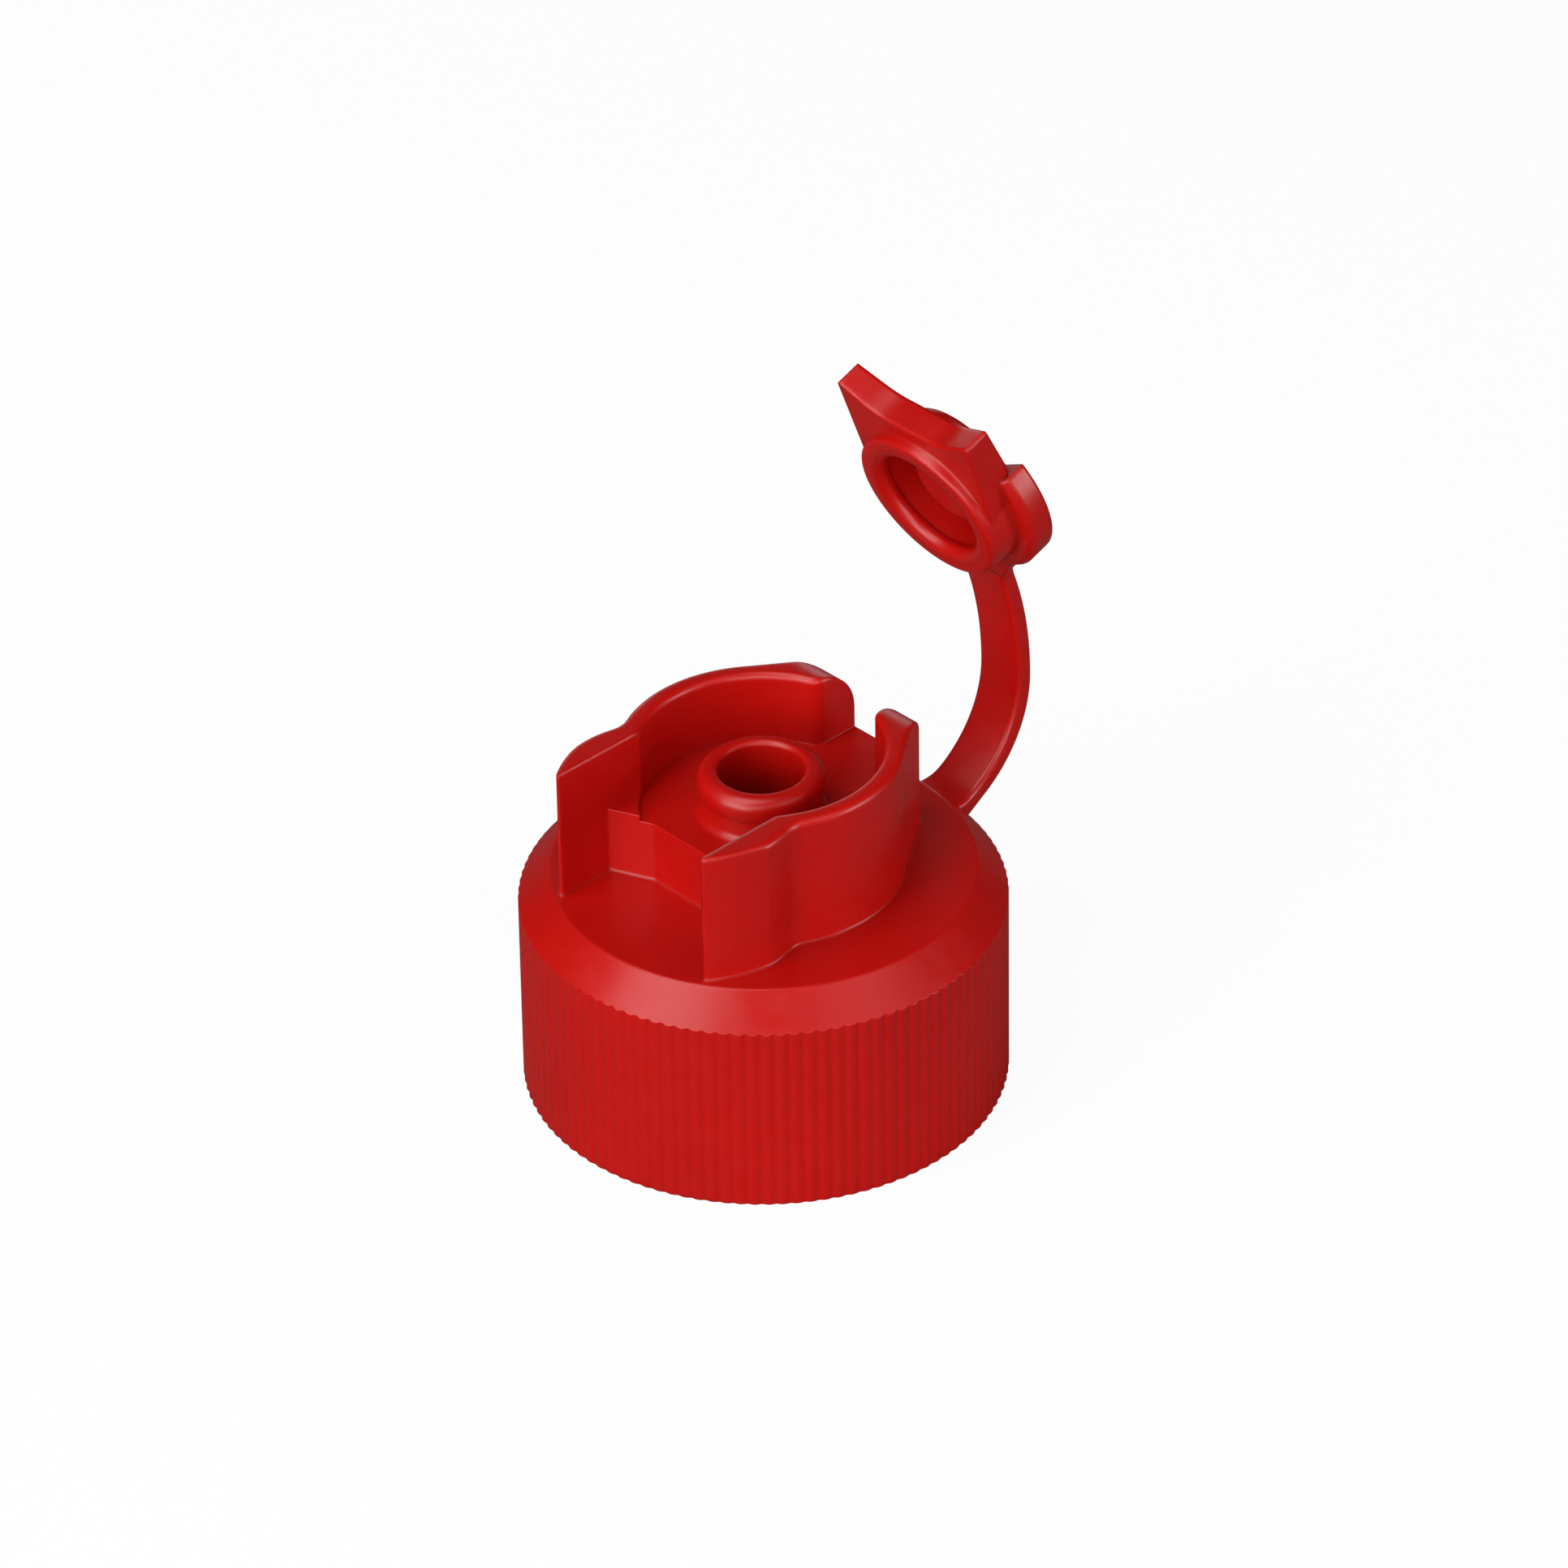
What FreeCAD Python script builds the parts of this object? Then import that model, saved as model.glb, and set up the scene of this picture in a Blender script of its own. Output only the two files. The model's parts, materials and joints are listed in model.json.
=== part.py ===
import FreeCAD, Part
import math
import os
import Sketcher

# Flip top cap: a ribbed screw cap with a spout, a curb round the spout, and a lid on a strap.
# Millimetres. The origin is on the cap's axis at its bottom rim. Z is up, the open front of the
# curb looks along -Y, and the strap leaves at +Y. The lid stands open, as it was moulded.

os.makedirs("parts", exist_ok=True)
doc = FreeCAD.newDocument("flip_top_cap")

# Driving sizes. Every other measure below is worked out from these.
SIZES = (
    ("skirt_bore", "16.6", "inside of the skirt, at the root of its thread"),
    ("skirt_wall", "2.3", "thickness of the skirt between two ribs"),
    ("thread_step", "0.5", "how much wider the thread's stretch is than the bore above it"),
    ("thread_top", "13.2", "bottom rim to the end of the thread's stretch"),
    ("cap_height", "18.6", "bottom rim to the flat top"),
    ("shoulder_run", "2.3", "skirt wall to the edge of the flat top"),
    ("shoulder_drop", "2.5", "flat top down to the skirt wall"),
    ("top_wall", "2", "thickness of the top"),
    ("rib_height", "0.1", "how far a rib stands out of the skirt wall"),
    ("rib_round", "1", "radius of a rib's section"),
    ("rib_count", "108", "ribs round the skirt"),
    ("seal_room", "3.8", "bore to the outside of the ring that plugs the bottle's mouth"),
    ("seal_wall", "1", "thickness of that ring"),
    ("seal_drop", "3.2", "how far the ring hangs below the top"),
    ("seal_draft", "0.15", "how far each side of the ring leans in at its tip"),
    ("platform_rise", "5.72", "flat top up to the platform inside the curb"),
    ("floor_drop", "0.5", "platform down to the round chamber's floor"),
    ("platform_lead", "2.1", "spout's foot to the straight front of the platform"),
    ("platform_flat", "4.4", "half the width of that straight front"),
    ("platform_slant", "0.44", "how fast the front runs forward beside it"),
    ("platform_step", "0.775", "lobe's inner face to the platform's hidden side"),
    ("core_wall", "1.8", "wall left over the hollow under the platform"),
    ("curb_wall", "1.55", "thickness of the curb"),
    ("gap_room", "0.8", "room beside the strap in the curb's gap"),
    ("cheek_wall", "1.25", "thickness of a cheek at its back, beside that gap"),
    ("cheek_edge", "1.2", "rounding of the cheeks' outer back corners"),
    ("cheek_reach", "1.9", "how far the cheeks run on behind the curb"),
    ("cheek_turn", "1.1", "rounding where the chamber's wall turns into the gap"),
    ("cheek_round", "4.2", "rounding of the cheeks' upper back corners"),
    ("lobe_inset", "3.2", "outside of the curb to a lobe's flat inner face"),
    ("lobe_stop", "2.7", "edge of the flat top to the lobes' tips"),
    ("tip_wall", "0.25", "thickness of a lobe at its tip"),
    ("belly_inset", "0.95", "outside of the curb to the widest place of a lobe"),
    ("belly_front", "8.9", "how far forward that place is"),
    ("lobe_front_round", "13", "radius of a lobe from its tip to its belly"),
    ("lobe_back_round", "8", "radius of a lobe from its belly to the crease"),
    ("crease_round", "2.4", "radius of the crease where a lobe meets the round curb"),
    ("curb_edge", "0.5", "rounding of the round curb's rim"),
    ("spout_bore", "3.4", "bore of the spout"),
    ("bead_round", "1", "rounding over the bead's outside"),
    ("bead_flat", "0.25", "flat on top of the bead"),
    ("bead_edge", "0.35", "rounding of the bead's inner edge"),
    ("bead_height", "0.35", "straight outside of the bead"),
    ("bead_under", "1", "rounding under the bead"),
    ("bead_lip", "0.35", "how far the bead stands out of the spout's neck"),
    ("spout_room", "0.58", "room over the bead in the shut lid"),
    ("spout_foot", "0.6", "rounding at the spout's foot"),
    ("lid_inset", "0.28", "ribs' crests to the open lid's axis, at the lid's datum level"),
    ("lid_rise", "24.83", "flat top up to the open lid's datum"),
    ("lid_tilt", "20.1", "angle of the open lid to the vertical"),
    ("lid_recess", "0.4", "shut lid's top below the curb's rim"),
    ("lid_top", "4.15", "datum up to the lid's top"),
    ("flange_under", "1.85", "datum up to the underside of the flange"),
    ("flange_reach", "1.48", "how far the flange stands out of the boss"),
    ("flange_gap", "0.95", "room between the flange and the chamber wall"),
    ("flange_bevel", "0.5", "bevel under the flange"),
    ("flange_start", "31", "angle in front of the X axis where the flange ends"),
    ("crown_inset", "0.93", "boss's rim to the round crown between the flange's two ends"),
    ("boss_wall", "1.65", "socket to the boss's rim"),
    ("boss_drop", "0.9", "datum down to the boss's rim"),
    ("boss_room", "0.63", "room between the shut lid's boss and the chamber's floor"),
    ("boss_draft", "0.3", "how much wider the boss is at the flange"),
    ("boss_edge", "0.3", "rounding of the boss's rim"),
    ("socket_gap", "0.12", "room between the socket and the spout's bead"),
    ("socket_leadin", "0.3", "bevel at the socket's mouth"),
    ("ceiling_wall", "1.2", "thickness of the lid over the socket"),
    ("plug_gap", "0.2", "room between the plug and the spout's bore"),
    ("plug_length", "1.6", "how far the plug hangs into the socket"),
    ("plug_edge", "0.35", "rounding of the plug's end"),
    ("tab_gap", "0.85", "room between the tab and a lobe"),
    ("tab_reach", "1", "boss to the straight middle of the tab's end"),
    ("tab_flat", "3.4", "half the width of that straight middle"),
    ("tab_slant", "0.5", "how fast the end runs forward beside it"),
    ("tab_hollow", "5", "rounding where the straight middle bends forward"),
    ("tab_tip_wall", "2.25", "thickness of the tab at its tips"),
    ("tab_root_wall", "2.85", "thickness of the tab at the crown"),
    ("tab_edge", "0.15", "rounding of the tab's upright corners"),
    ("strap_width", "4.4", "width of the strap"),
    ("strap_wall", "1.5", "thickness of the strap"),
    ("strap_level", "2.6", "datum up to the middle of the strap"),
    ("strap_bend", "9.9", "radius of the strap's lower bend"),
    ("bulge_rise", "5.8", "flat top up to the strap's furthest place"),
    ("strap_straight", "1.2", "straight stretch of the strap beside the lid"),
    ("land_sunk", "0.2", "how far the land starts inside the flange's edge"),
    ("land_length", "0.85", "flange's edge to the end of the land that the strap joins"),
    ("land_spread", "0.4", "how much wider than the strap the land ends, on each side"),
    ("land_flare", "1.4", "how much wider it is again at the flange, on each side"),
    ("flex_angle", "16.8", "place of the upper flexing line, as an angle of the strap's upper bend"),
    ("flex_gap", "0.1", "clearance at each flexing line"),
    ("cut_room", "1", "how far a cut runs past the material"),
)

sizes = doc.addObject("Spreadsheet::Sheet", "Sizes")
for row, (alias, value, meaning) in enumerate(SIZES, 1):
    sizes.set(f"A{row}", meaning)
    sizes.set(f"B{row}", value)
    sizes.setAlias(f"B{row}", alias)
doc.recompute()

# Places that follow from the driving sizes. A name without a dot is a size or an earlier place.
PLACES = (
    ("skirt_radius", "Sizes.skirt_bore + Sizes.skirt_wall"),
    ("upper_bore", "Sizes.skirt_bore - Sizes.thread_step"),
    ("top_radius", "skirt_radius - Sizes.shoulder_run"),
    ("rib_crest", "skirt_radius + Sizes.rib_height"),
    ("rib_centre", "rib_crest - Sizes.rib_round"),
    ("shoulder_z", "Sizes.cap_height - Sizes.shoulder_drop"),
    ("ceiling_z", "Sizes.cap_height - Sizes.top_wall"),
    ("seal_z", "ceiling_z - Sizes.seal_drop"),
    ("seal_radius", "Sizes.skirt_bore - Sizes.seal_room"),
    ("seal_inner", "seal_radius - Sizes.seal_wall"),
    ("seal_tip_outer", "seal_radius - Sizes.seal_draft"),
    ("seal_tip_inner", "seal_inner + Sizes.seal_draft"),
    ("rib_slope", "Sizes.shoulder_run / Sizes.shoulder_drop"),
    ("rib_clear", "rib_crest + Sizes.rib_height"),
    ("rib_end_z", "shoulder_z - 2 * Sizes.rib_height / rib_slope"),
    ("rib_over_z", "shoulder_z + Sizes.rib_height"),
    ("platform_z", "Sizes.cap_height + Sizes.platform_rise"),
    ("floor_z", "platform_z - Sizes.floor_drop"),
    ("socket_top", "Sizes.lid_top - Sizes.ceiling_wall"),
    ("shut_z", "floor_z + Sizes.boss_room + Sizes.boss_drop"),
    ("curb_z", "shut_z + Sizes.lid_top + Sizes.lid_recess"),
    ("spout_z", "shut_z + socket_top - Sizes.spout_room"),
    ("bead_z", "spout_z - Sizes.bead_round"),
    ("bead_low_z", "bead_z - Sizes.bead_height"),
    ("bead_inner_z", "spout_z - Sizes.bead_edge"),
    ("bead_inner_radius", "Sizes.spout_bore + Sizes.bead_edge"),
    ("bead_top_radius", "bead_inner_radius + Sizes.bead_flat"),
    ("bead_radius", "bead_top_radius + Sizes.bead_round"),
    ("spout_neck", "bead_radius - Sizes.bead_lip"),
    ("bead_foot_z", "bead_low_z - sqrt(Sizes.bead_lip * (2 * Sizes.bead_under - Sizes.bead_lip))"),
    ("spout_foot_radius", "spout_neck + Sizes.spout_foot"),
    ("spout_foot_z", "floor_z + Sizes.spout_foot"),
    ("spout_sunk_z", "floor_z - Sizes.floor_drop"),
    ("socket_radius", "bead_radius + Sizes.socket_gap"),
    ("socket_mouth", "socket_radius + Sizes.socket_leadin"),
    ("socket_lip_drop", "Sizes.boss_drop - Sizes.socket_leadin"),
    ("boss_radius", "socket_radius + Sizes.boss_wall"),
    ("boss_root", "boss_radius + Sizes.boss_draft"),
    ("boss_round_radius", "boss_radius - Sizes.boss_edge"),
    ("boss_round_drop", "Sizes.boss_drop - Sizes.boss_edge"),
    ("crown_radius", "boss_radius - Sizes.crown_inset"),
    ("flange_radius", "boss_root + Sizes.flange_reach"),
    ("flange_wall", "Sizes.lid_top - Sizes.flange_under"),
    ("chamber_radius", "flange_radius + Sizes.flange_gap"),
    ("curb_radius", "chamber_radius + Sizes.curb_wall"),
    ("curb_clear_z", "curb_z + Sizes.cut_room"),
    ("curb_clear_width", "2 * (curb_radius + Sizes.cut_room)"),
    ("lobe_inner", "curb_radius - Sizes.lobe_inset"),
    ("lobe_reach", "top_radius - Sizes.lobe_stop"),
    ("belly_half", "curb_radius - Sizes.belly_inset"),
    ("lobe_centre", "belly_half - Sizes.lobe_back_round"),
    ("lobe_span", "sqrt(lobe_centre^2 + Sizes.belly_front^2)"),
    ("crease_far", "curb_radius + Sizes.crease_round"),
    ("crease_arm", "Sizes.lobe_back_round + Sizes.crease_round"),
    ("crease_along", "(crease_far^2 - crease_arm^2 + lobe_span^2) / (2 * lobe_span)"),
    ("crease_off", "sqrt(crease_far^2 - crease_along^2)"),
    ("crease_side", "(crease_along * lobe_centre + crease_off * Sizes.belly_front) / lobe_span"),
    ("crease_front", "(crease_along * Sizes.belly_front - crease_off * lobe_centre) / lobe_span"),
    ("crease_half", "sqrt(curb_radius^2 - crease_front^2)"),
    ("curb_join_side", "crease_side * curb_radius / crease_far"),
    ("curb_join_front", "crease_front * curb_radius / crease_far"),
    ("lobe_join_side",
     "lobe_centre + (crease_side - lobe_centre) * Sizes.lobe_back_round / crease_arm"),
    ("lobe_join_front",
     "Sizes.belly_front - (Sizes.belly_front - crease_front) * Sizes.lobe_back_round / crease_arm"),
    ("corner_front", "sqrt(chamber_radius^2 - lobe_inner^2)"),
    ("tip_outer", "lobe_inner + Sizes.tip_wall"),
    ("gap_half", "Sizes.strap_width / 2 + Sizes.gap_room"),
    ("gap_inner", "sqrt(chamber_radius^2 - gap_half^2)"),
    ("cheek_back", "curb_radius + Sizes.cheek_reach"),
    ("cheek_corner", "gap_half + Sizes.cheek_wall"),
    ("cheek_turn",
     "atan(cheek_back / cheek_corner)"
     " - acos(curb_radius / sqrt(cheek_corner^2 + cheek_back^2))"),
    ("turn_side", "curb_radius * cos(cheek_turn)"),
    ("turn_back", "curb_radius * sin(cheek_turn)"),
    ("edge_back", "cheek_back - Sizes.cheek_edge"),
    ("edge_side",
     "(curb_radius - Sizes.cheek_edge - edge_back * sin(cheek_turn)) / cos(cheek_turn)"),
    ("cheek_side", "edge_side + Sizes.cheek_edge * cos(cheek_turn)"),
    ("cheek_side_back", "edge_back + Sizes.cheek_edge * sin(cheek_turn)"),
    ("sill_width", "2 * gap_half + Sizes.cheek_wall / 2"),
    ("sill_start", "(chamber_radius + curb_radius) / 2"),
    ("cheek_clear", "cheek_back + Sizes.cut_room"),
    ("cheek_flat", "cheek_back - Sizes.cheek_round"),
    ("cheek_round_z", "curb_z - Sizes.cheek_round"),
    ("platform_front", "spout_foot_radius + Sizes.platform_lead"),
    ("platform_side", "lobe_inner + Sizes.platform_step"),
    ("platform_side_front",
     "platform_front + (platform_side - Sizes.platform_flat) * Sizes.platform_slant"),
    ("hollow_radius", "curb_radius - Sizes.core_wall"),
    ("hollow_front", "platform_front - Sizes.core_wall"),
    ("hollow_half", "sqrt(hollow_radius^2 - hollow_front^2)"),
    ("hollow_depth", "floor_z - Sizes.core_wall - ceiling_z"),
    ("lid_y", "rib_crest - Sizes.lid_inset"),
    ("lid_z", "Sizes.cap_height + Sizes.lid_rise"),
    ("crown_x", "crown_radius * cos(Sizes.flange_start)"),
    ("crown_front", "crown_radius * sin(Sizes.flange_start)"),
    ("flange_x", "flange_radius * cos(Sizes.flange_start)"),
    ("flange_front", "flange_radius * sin(Sizes.flange_start)"),
    ("plug_radius", "Sizes.spout_bore - Sizes.plug_gap"),
    ("plug_round_radius", "plug_radius - Sizes.plug_edge"),
    ("plug_end", "socket_top - Sizes.plug_length"),
    ("plug_round_end", "plug_end + Sizes.plug_edge"),
    ("tab_half", "lobe_inner - Sizes.tab_gap"),
    ("tab_front", "boss_root + Sizes.tab_reach"),
    ("tab_tip_front", "tab_front + (tab_half - Sizes.tab_flat) * Sizes.tab_slant"),
    ("tab_clear_front", "tab_tip_front + Sizes.cut_room"),
    ("tab_clear_top", "Sizes.tab_root_wall + Sizes.cut_room"),
    ("tab_clear_width", "2 * (tab_half + Sizes.cut_room)"),
    ("tab_tip_low",
     "Sizes.tab_tip_wall - (Sizes.tab_root_wall - Sizes.tab_tip_wall)"
     " * Sizes.cut_room / (tab_tip_front - crown_radius)"),
    ("land_half", "Sizes.strap_width / 2 + Sizes.land_spread"),
    ("land_root_half", "land_half + Sizes.land_flare"),
    ("land_root", "sqrt(flange_radius^2 - land_root_half^2) - Sizes.land_sunk"),
    ("strap_half_wall", "Sizes.strap_wall / 2"),
    ("land_under", "Sizes.strap_level - strap_half_wall"),
    ("land_reach", "flange_radius + Sizes.land_length"),
    ("tail_end", "land_reach + Sizes.flex_gap"),
    ("lid_end", "tail_end + Sizes.strap_straight"),
    ("straight_y", "Sizes.strap_straight * sin(Sizes.lid_tilt)"),
    ("straight_z", "Sizes.strap_straight * cos(Sizes.lid_tilt)"),
    ("strap_end_y",
     "lid_y + lid_end * sin(Sizes.lid_tilt) + Sizes.strap_level * cos(Sizes.lid_tilt)"),
    ("strap_end_z",
     "lid_z - lid_end * cos(Sizes.lid_tilt) + Sizes.strap_level * sin(Sizes.lid_tilt)"),
    ("bulge_z", "Sizes.cap_height + Sizes.bulge_rise"),
    ("upper_bend", "(strap_end_z - bulge_z) / sin(Sizes.lid_tilt)"),
    ("upper_centre", "strap_end_y - upper_bend * cos(Sizes.lid_tilt)"),
    ("bulge_y", "upper_centre + upper_bend"),
    ("lower_centre", "bulge_y - Sizes.strap_bend"),
    ("root_y", "rib_crest + strap_half_wall + 2 * Sizes.flex_gap"),
    ("root_angle", "acos((root_y - lower_centre) / Sizes.strap_bend)"),
    ("root_z", "bulge_z - Sizes.strap_bend * sin(root_angle)"),
    ("lower_outer_bend", "Sizes.strap_bend + strap_half_wall"),
    ("lower_inner_bend", "Sizes.strap_bend - strap_half_wall"),
    ("upper_outer_bend", "upper_bend + strap_half_wall"),
    ("upper_inner_bend", "upper_bend - strap_half_wall"),
    ("root_outer_y", "lower_centre + lower_outer_bend * cos(root_angle)"),
    ("root_outer_z", "bulge_z - lower_outer_bend * sin(root_angle)"),
    ("root_inner_y", "lower_centre + lower_inner_bend * cos(root_angle)"),
    ("root_inner_z", "bulge_z - lower_inner_bend * sin(root_angle)"),
    ("bulge_outer_y", "bulge_y + strap_half_wall"),
    ("bulge_inner_y", "bulge_y - strap_half_wall"),
    ("flex_y", "upper_centre + upper_bend * cos(Sizes.flex_angle)"),
    ("flex_z", "bulge_z + upper_bend * sin(Sizes.flex_angle)"),
    ("flex_outer_y", "upper_centre + upper_outer_bend * cos(Sizes.flex_angle)"),
    ("flex_outer_z", "bulge_z + upper_outer_bend * sin(Sizes.flex_angle)"),
    ("flex_inner_y", "upper_centre + upper_inner_bend * cos(Sizes.flex_angle)"),
    ("flex_inner_z", "bulge_z + upper_inner_bend * sin(Sizes.flex_angle)"),
    ("tail_angle",
     "Sizes.flex_angle + (strap_half_wall + Sizes.flex_gap) / upper_bend * 180 / pi"),
    ("tail_outer_y", "upper_centre + upper_outer_bend * cos(tail_angle)"),
    ("tail_outer_z", "bulge_z + upper_outer_bend * sin(tail_angle)"),
    ("tail_inner_y", "upper_centre + upper_inner_bend * cos(tail_angle)"),
    ("tail_inner_z", "bulge_z + upper_inner_bend * sin(tail_angle)"),
    ("join_outer_y", "upper_centre + upper_outer_bend * cos(Sizes.lid_tilt)"),
    ("join_outer_z", "bulge_z + upper_outer_bend * sin(Sizes.lid_tilt)"),
    ("join_inner_y", "upper_centre + upper_inner_bend * cos(Sizes.lid_tilt)"),
    ("join_inner_z", "bulge_z + upper_inner_bend * sin(Sizes.lid_tilt)"),
    ("end_outer_y", "join_outer_y - straight_y"),
    ("end_outer_z", "join_outer_z + straight_z"),
    ("end_inner_y", "join_inner_y - straight_y"),
    ("end_inner_z", "join_inner_z + straight_z"),
    ("seat_inner_y", "(Sizes.skirt_bore + skirt_radius) / 2"),
    ("seat_outer_y", "root_y - strap_half_wall - Sizes.flex_gap"),
    ("seat_low_z", "root_z - strap_half_wall"),
    ("seat_high_z", "root_z + strap_half_wall"),
)

places = doc.addObject("Spreadsheet::Sheet", "Places")
for row, (alias, formula) in enumerate(PLACES, 1):
    places.set(f"A{row}", alias)
    places.set(f"B{row}", "=" + formula)
    places.setAlias(f"B{row}", alias)
doc.recompute()

SIZE_NAMES = {alias for alias, value, meaning in SIZES}


def sheet_name(name):
    """The name that a formula gives to a size or place."""
    return ("Sizes." if name in SIZE_NAMES else "Places.") + name


def number(name):
    """The present value of a size or place; a leading minus sign turns it round, and 0 is 0."""
    if name == 0:
        return 0.0
    bare = name.lstrip("-")
    value = float(getattr(sizes if bare in SIZE_NAMES else places, bare))
    return -value if name.startswith("-") else value


def formula(name):
    """The formula for a size or place, with its sign."""
    return ("-" if name.startswith("-") else "") + sheet_name(name.lstrip("-"))


def new_body(name):
    body = doc.addObject("PartDesign::Body", name)
    body.Label = name
    return body


def origin_part(body, role):
    """An origin plane or axis of a body, by its role."""
    return next(part for part in body.Origin.OriginFeatures if part.Role == role)


def new_sketch(body, name, plane, lift=None):
    """A sketch on one of the body's origin planes, lifted along the plane's normal."""
    sketch = body.newObject("Sketcher::SketchObject", name)
    sketch.AttachmentSupport = [(origin_part(body, plane), "")]
    sketch.MapMode = "FlatFace"
    if lift is not None:
        sketch.setExpression("AttachmentOffset.Base.z", formula(lift))
    return sketch


def bind(sketch, constraint, name):
    """Adds a dimension to a sketch and ties it to a size or place."""
    index = sketch.addConstraint(constraint)
    label = f"d{index}"
    sketch.renameConstraint(index, label)
    sketch.setExpression(f"Constraints.{label}", formula(name))


def fix_point(sketch, line, end, corner):
    """Holds one end of a line or arc at a corner given by two names."""
    across, up = corner
    if across == 0:
        sketch.addConstraint(Sketcher.Constraint("PointOnObject", line, end, -2))
    else:
        bind(sketch, Sketcher.Constraint("DistanceX", line, end, number(across)), across)
    if up == 0:
        sketch.addConstraint(Sketcher.Constraint("PointOnObject", line, end, -1))
    else:
        bind(sketch, Sketcher.Constraint("DistanceY", line, end, number(up)), up)


def arc_between(start, end, radius, turn, long_way):
    """A circular arc from start to end: turn is 1 anticlockwise and -1 clockwise."""
    chord = end - start
    half = chord.Length / 2
    side = turn * (-1 if long_way else 1)
    offset = math.sqrt(max(radius ** 2 - half ** 2, 0.0))
    left = FreeCAD.Vector(-chord.y, chord.x, 0).normalize()
    centre = (start + end) * 0.5 + left * side * offset
    first = math.atan2(start.y - centre.y, start.x - centre.x)
    last = math.atan2(end.y - centre.y, end.x - centre.x)
    if turn < 0:
        first, last = last, first
    if last <= first:
        last += 2 * math.pi
    return Part.ArcOfCircle(Part.Circle(centre, FreeCAD.Vector(0, 0, 1), radius), first, last)


def half_turn(start, end):
    """The half circle from start to end, anticlockwise."""
    centre = (start + end) * 0.5
    first = math.atan2(start.y - centre.y, start.x - centre.x)
    circle = Part.Circle(centre, FreeCAD.Vector(0, 0, 1), (end - start).Length / 2)
    return Part.ArcOfCircle(circle, first, first + math.pi)


def outline(sketch, corners, arcs=None, round_ends=None):
    """A closed outline. arcs maps a side's number to (radius, turn) or (radius, turn, True) for
    the long way round, and round_ends maps one to the centre of a half circle; the other sides
    are straight."""
    arcs = arcs or {}
    round_ends = round_ends or {}
    points = [FreeCAD.Vector(number(across), number(up), 0) for across, up in corners]
    ends = []
    for side, start in enumerate(points):
        end = points[(side + 1) % len(points)]
        if side in arcs:
            radius, turn = arcs[side][:2]
            long_way = len(arcs[side]) > 2
            line = sketch.addGeometry(arc_between(start, end, number(radius), turn, long_way))
            ends.append((line, 1, 2) if turn > 0 else (line, 2, 1))
            bind(sketch, Sketcher.Constraint("Radius", line, number(radius)), radius)
        elif side in round_ends:
            across, up = round_ends[side]
            line = sketch.addGeometry(half_turn(start, end))
            ends.append((line, 1, 2))
            if abs(end.y - start.y) > abs(end.x - start.x):
                bind(sketch, Sketcher.Constraint("DistanceX", line, 3, number(across)), across)
            else:
                bind(sketch, Sketcher.Constraint("DistanceY", line, 3, number(up)), up)
        else:
            line = sketch.addGeometry(Part.LineSegment(start, end))
            ends.append((line, 1, 2))
    for side, (line, first, last) in enumerate(ends):
        fix_point(sketch, line, first, corners[side])
        following, following_first = ends[(side + 1) % len(ends)][:2]
        sketch.addConstraint(Sketcher.Constraint("Coincident", line, last, following, following_first))


def ring(sketch, radius):
    """A circle about the sketch's origin."""
    circle = Part.Circle(FreeCAD.Vector(0, 0, 0), FreeCAD.Vector(0, 0, 1), number(radius))
    line = sketch.addGeometry(circle)
    sketch.addConstraint(Sketcher.Constraint("Coincident", line, 3, -1, 1))
    bind(sketch, Sketcher.Constraint("Radius", line, number(radius)), radius)


def pad(body, name, sketch, length, symmetric=False):
    feature = body.newObject("PartDesign::Pad", name)
    feature.Profile = sketch
    feature.setExpression("Length", length)
    if symmetric:
        feature.SideType = "Symmetric"
    doc.recompute()
    return feature


def pocket(body, name, sketch, length, upward=False, symmetric=False):
    """A cut from the sketch, downward unless told otherwise; it has to take something away."""
    before = body.Shape.Volume
    feature = body.newObject("PartDesign::Pocket", name)
    feature.Profile = sketch
    feature.setExpression("Length", length)
    feature.Reversed = upward
    if symmetric:
        feature.SideType = "Symmetric"
    doc.recompute()
    if body.Shape.Volume >= before:
        raise RuntimeError(f"{name} cuts nothing")
    return feature


def revolve(body, kind, name, sketch):
    """A full turn of a profile about the body's own Z axis."""
    feature = body.newObject(f"PartDesign::{kind}", name)
    feature.Profile = sketch
    feature.ReferenceAxis = (sketch, ["V_Axis"])
    feature.Angle = 360
    doc.recompute()
    return feature


def mirror(body, name, originals):
    """The same feature on the other side of the plane of symmetry."""
    feature = body.newObject("PartDesign::Mirrored", name)
    feature.Originals = originals
    feature.MirrorPlane = (origin_part(body, "YZ_Plane"), [""])
    body.Tip = feature
    doc.recompute()
    return feature


def edges_where(shape, wanted):
    """The names of a shape's edges whose middle point passes a test."""
    names = []
    for index, edge in enumerate(shape.Edges, 1):
        middle = edge.valueAt((edge.FirstParameter + edge.LastParameter) / 2)
        if wanted(middle, edge):
            names.append(f"Edge{index}")
    return names


def dress(body, kind, name, radius, wanted):
    """A fillet or chamfer on the edges that pass a test."""
    base = body.Tip
    feature = body.newObject(f"PartDesign::{kind}", name)
    feature.Base = (base, edges_where(base.Shape, wanted))
    feature.setExpression("Radius" if kind == "Fillet" else "Size", formula(radius))
    doc.recompute()
    return feature


def near(value, name, room=0.02):
    return abs(value - number(name)) < room


# The cap: one moulding of skirt, top, plug ring, platform, curb and spout.
cap = new_body("cap")

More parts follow.
